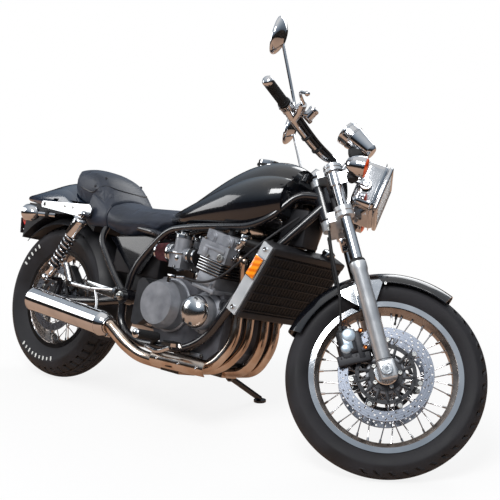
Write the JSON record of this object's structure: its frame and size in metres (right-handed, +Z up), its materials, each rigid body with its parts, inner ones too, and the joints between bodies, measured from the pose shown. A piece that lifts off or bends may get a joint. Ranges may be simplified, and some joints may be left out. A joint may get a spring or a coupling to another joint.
{
  "type": "cruiser motorcycle",
  "caption": "Low cruiser motorcycle with an exposed in-line engine, wire wheels, stepped seat and chrome mufflers, leaning on its side stand.",
  "frame": {"origin": "bottom centre of the parked machine's box, on the ground", "axes": "+X towards the front wheel, +Y to the rider's left, +Z up; the machine leans about 15 degrees to +Y on its side stand"},
  "size_m": [2.1951, 0.806, 1.4244],
  "materials": {
    "black_paint": "gloss black enamel",
    "brushed_steel": "bright brushed steel",
    "cast_alloy": "grey painted cast aluminium",
    "chrome": "bright chrome plate",
    "dark_plastic": "black moulded plastic",
    "filter_fabric": "dark red pleated gauze between chrome caps",
    "gloss_black": "gloss black lacquer",
    "polished_alloy": "polished aluminium",
    "red_lens": "red moulded lens",
    "rubber": "black rubber",
    "steel": "ground steel with drilled holes",
    "tyre": "black rubber, moulded tread",
    "vinyl": "black seat vinyl with sewn seams"
  },
  "bodies": {
    "front_wheel": {"front_tyre": "tyre", "front_rim": "chrome", "front_hub": "black_paint", "front_discs": "steel"},
    "rear_wheel": {"rear_tyre": "tyre", "rear_rim": "chrome", "rear_hub": "black_paint", "rear_disc": "steel"},
    "fork": {"fork_tubes": "chrome", "fork_sliders": "polished_alloy", "front_axle": "chrome", "triple_clamps": "polished_alloy", "handlebar": "chrome", "grips": "rubber", "hand_controls": "chrome", "mirrors": "chrome", "headlamp": "chrome", "speedometer": "chrome", "front_turn_signals": "chrome", "horn": "chrome", "front_fender": "black_paint", "front_calipers": "cast_alloy", "brake_hoses": "rubber"},
    "chassis": {"frame": "black_paint", "swingarm": "black_paint", "rear_axle": "chrome", "rear_caliper": "cast_alloy", "rear_shocks": "chrome", "crankcase": "cast_alloy", "cylinder_block": "cast_alloy", "cylinder_head": "cast_alloy", "clutch_cover": "cast_alloy", "ignition_cover": "polished_alloy", "left_engine_covers": "cast_alloy", "gearbox_cover": "dark_plastic", "carburetors": "cast_alloy", "air_filters": "filter_fabric", "mufflers": "chrome", "exhaust_headers": "chrome", "radiator": "dark_plastic", "radiator_covers": "brushed_steel", "coolant_hoses": "rubber", "fuel_tank": "gloss_black", "fuel_cap": "chrome", "rider_seat": "vinyl", "pillion_seat": "vinyl", "tail_cowl": "gloss_black", "rear_fender": "dark_plastic", "tail_lamp": "red_lens", "rear_turn_signals": "chrome", "fender_struts": "polished_alloy", "side_panels": "gloss_black", "rider_pegs": "rubber", "pillion_pegs": "chrome", "foot_controls": "chrome"},
    "side_stand": {"side_stand": "black_paint"}
  },
  "joints": [
    {"name": "steering", "type": "hinge", "parent": "chassis", "child": "fork", "pos_m": [0.4639, 0.02962, 0.82061], "axis": [-0.4856, 0.2253, 0.8447], "range_deg": [-70, 0]},
    {"name": "front_wheel_spin", "type": "hinge", "parent": "fork", "child": "front_wheel", "pos_m": [0.81512, -0.08233, 0.2858], "axis": [-0.5031, 0.7181, -0.4808], "continuous": true},
    {"name": "rear_wheel_spin", "type": "hinge", "parent": "chassis", "child": "rear_wheel", "pos_m": [-0.7566, -0.10877, 0.31405], "axis": [-0.0021, 0.9659, -0.2588], "continuous": true},
    {"name": "side_stand_fold", "type": "hinge", "parent": "chassis", "child": "side_stand", "pos_m": [0.05691, 0.025, 0.12664], "axis": [-0.1878, 0.7639, 0.6174], "range_deg": [0, 93.6]}
  ]
}
